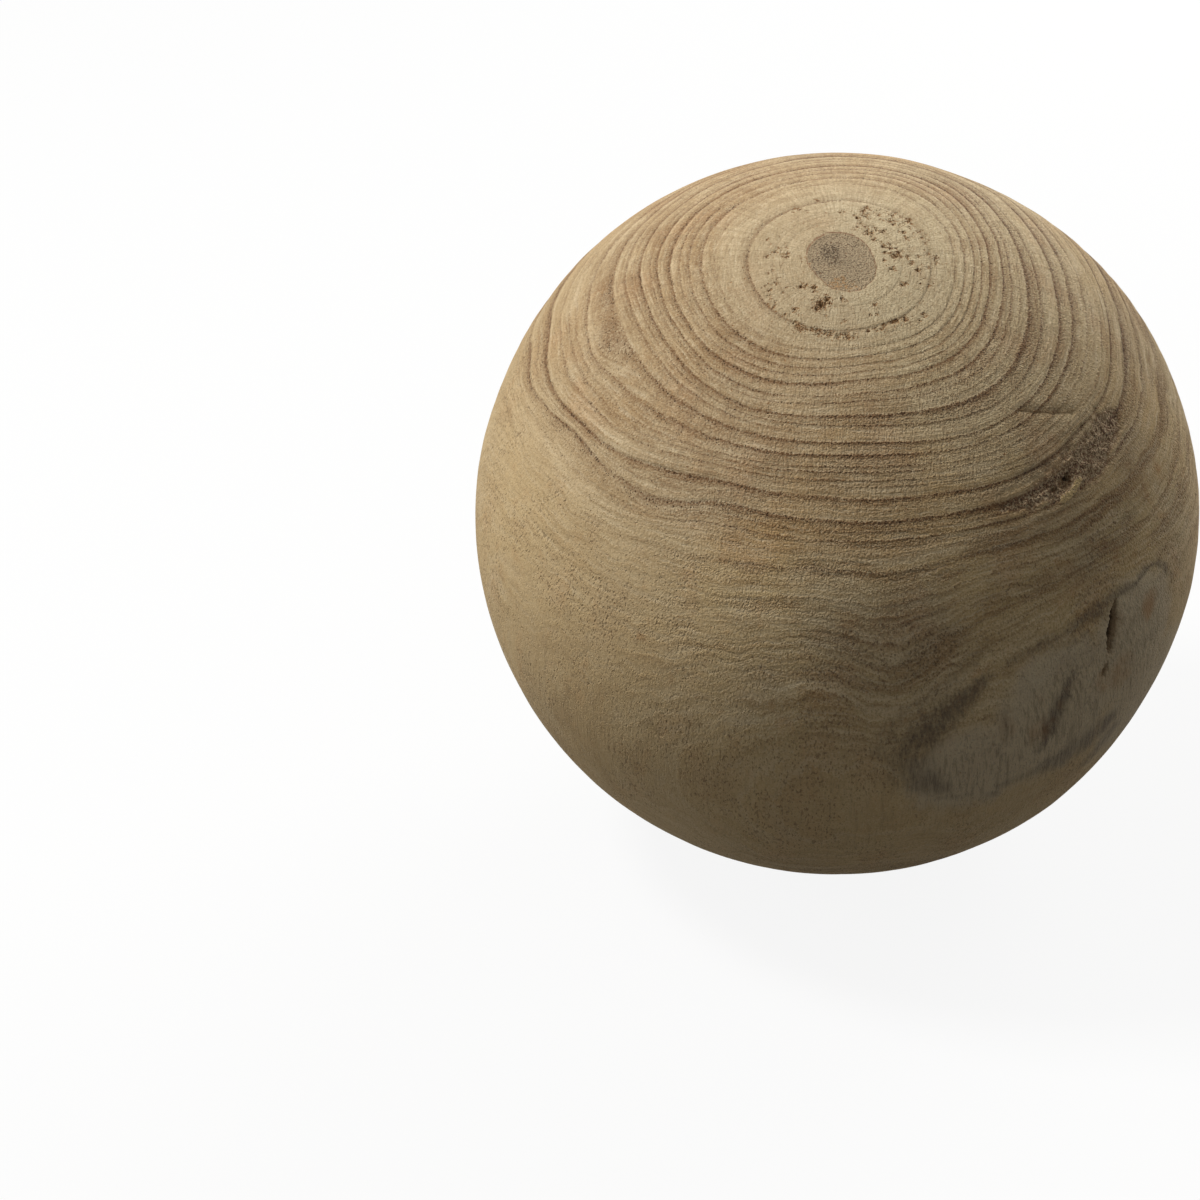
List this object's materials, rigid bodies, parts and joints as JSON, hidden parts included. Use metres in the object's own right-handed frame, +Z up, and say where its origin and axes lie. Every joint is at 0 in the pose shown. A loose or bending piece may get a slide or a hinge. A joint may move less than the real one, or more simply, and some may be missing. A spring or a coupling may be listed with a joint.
{
  "type": "wooden ball",
  "caption": "Decorative turned ball of natural light wood with the pith near its top, fine growth rings, a rough knot and a narrow drying check.",
  "frame": {"origin": "centre of the ball", "axes": "+Z up as the ball lies, the pith and its rings lean from +Z towards -Y, the front, and the knot and the checks are on the right of the front"},
  "size_m": [0.15, 0.15, 0.15],
  "materials": {
    "natural_wood": "sanded, unvarnished"
  },
  "bodies": {
    "root": {"ball": "natural_wood"}
  },
  "joints": []
}
